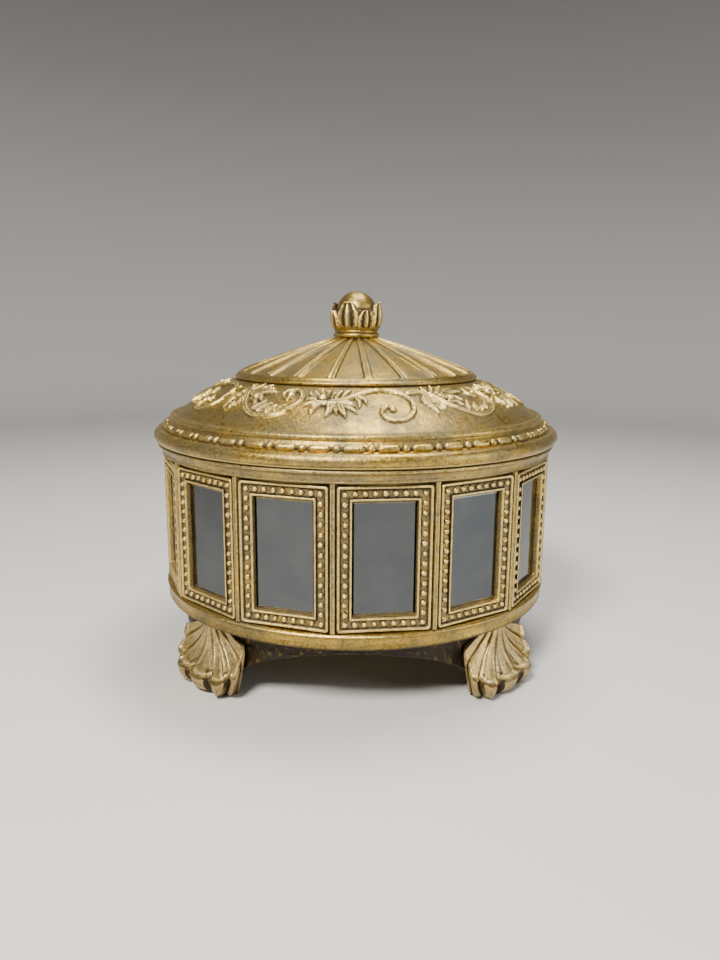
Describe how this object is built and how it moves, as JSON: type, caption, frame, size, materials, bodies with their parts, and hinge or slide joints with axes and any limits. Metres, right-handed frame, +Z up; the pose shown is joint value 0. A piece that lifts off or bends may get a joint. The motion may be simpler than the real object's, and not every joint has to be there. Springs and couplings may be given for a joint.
{
  "type": "jewelry box",
  "caption": "Round footed jewelry box with mirrored panels and a lift-off domed lid with a ball finial; keeps small jewelry on a lined floor.",
  "frame": {"origin": "on the surface the box stands on, under the middle of the drum", "axes": "+Z up along the axis of the drum and lid, which is also the way the lid lifts; -Y is the front; the feet stand at 45 degrees to X and Y"},
  "size_m": [0.176, 0.176, 0.1568],
  "materials": {
    "antique_gold": "antique gold paint rubbed back over a dark patina, on cast resin",
    "dark_gold": "dark brown speckled patina with a gold moulding, on cast resin",
    "mirror_glass": "silvered glass with a polished bevel",
    "velvet": "short-pile velvet on card",
    "screw_steel": "plain steel"
  },
  "bodies": {
    "box": {"drum": "antique_gold", "mirror_01": "mirror_glass", "mirror_02": "mirror_glass", "mirror_03": "mirror_glass", "mirror_04": "mirror_glass", "mirror_05": "mirror_glass", "mirror_06": "mirror_glass", "mirror_07": "mirror_glass", "mirror_08": "mirror_glass", "mirror_09": "mirror_glass", "mirror_10": "mirror_glass", "mirror_11": "mirror_glass", "mirror_12": "mirror_glass", "mirror_13": "mirror_glass", "mirror_14": "mirror_glass", "base_ring": "dark_gold", "paw_foot_1": "antique_gold", "paw_foot_2": "antique_gold", "paw_foot_3": "antique_gold", "paw_foot_4": "antique_gold", "base_screw_1": "screw_steel", "base_screw_2": "screw_steel", "base_screw_3": "screw_steel", "base_screw_4": "screw_steel", "foot_screw_1": "screw_steel", "foot_screw_2": "screw_steel", "foot_screw_3": "screw_steel", "foot_screw_4": "screw_steel", "wall_lining": "velvet", "floor_lining": "velvet"},
    "lid": {"lid": "antique_gold", "lid_lining": "velvet", "finial_cup": "antique_gold", "finial_ball": "antique_gold", "finial_washer": "screw_steel", "finial_screw": "screw_steel"}
  },
  "joints": [
    {"name": "lid_lift", "type": "slide", "parent": "box", "child": "lid", "axis": [0, 0, 1], "range_m": [0, 0.075]}
  ]
}
